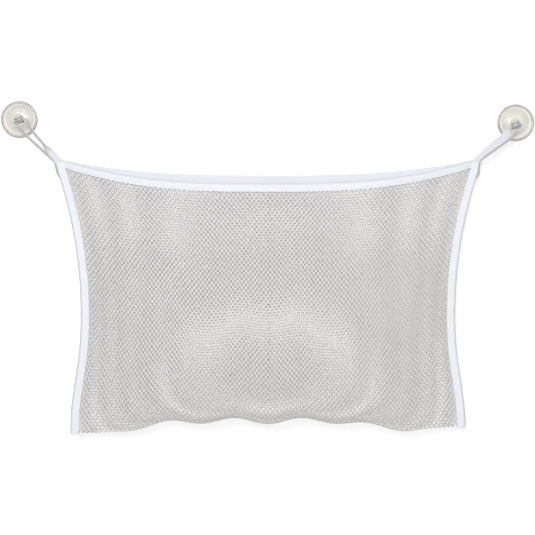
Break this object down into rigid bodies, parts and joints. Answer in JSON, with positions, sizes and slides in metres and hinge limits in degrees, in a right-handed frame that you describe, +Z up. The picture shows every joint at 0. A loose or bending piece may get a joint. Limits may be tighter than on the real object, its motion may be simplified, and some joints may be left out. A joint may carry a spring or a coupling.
{
  "type": "bath toy organizer",
  "caption": "Net bag with taped edges and an open mouth, hung flat on a wall by tape loops threaded through clear suction cups, to hold and drain bath toys.",
  "frame": {"origin": "on the wall, midway between the centres of the two suction cups", "axes": "+X along the wall to the right as seen from the front, +Y into the wall, +Z up"},
  "size_m": [0.579, 0.077, 0.354],
  "materials": {
    "clear_vinyl": "soft clear vinyl, moulded, faintly warm",
    "white_tape": "woven white polyester tape",
    "white_net": "knitted white polyester net",
    "white_thread": "white polyester sewing thread"
  },
  "bodies": {
    "cups": {"left_suction_cup": "clear_vinyl", "right_suction_cup": "clear_vinyl"},
    "bag": {"left_hanging_loop": "white_tape", "right_hanging_loop": "white_tape", "left_corner_bartack": "white_thread", "right_corner_bartack": "white_thread", "left_side_binding": "white_tape", "right_side_binding": "white_tape", "left_side_thread": "white_thread", "right_side_thread": "white_thread", "back_net": "white_net", "back_top_binding": "white_tape", "back_top_thread": "white_thread"},
    "bag_front": {"front_net": "white_net", "front_top_binding": "white_tape", "front_top_thread": "white_thread"}
  },
  "joints": [
    {"name": "bag_swing", "type": "hinge", "parent": "cups", "child": "bag", "pos_m": [0, -0.01554, 0], "axis": [-1, 0, 0], "range_deg": [0, 85]},
    {"name": "mouth_open", "type": "hinge", "parent": "bag", "child": "bag_front", "pos_m": [0, -0.01954, -0.3345], "axis": [1, 0, 0], "range_deg": [0, 14], "stiffness_Nm_per_rad": 0.6, "springref_deg": -3.44}
  ]
}
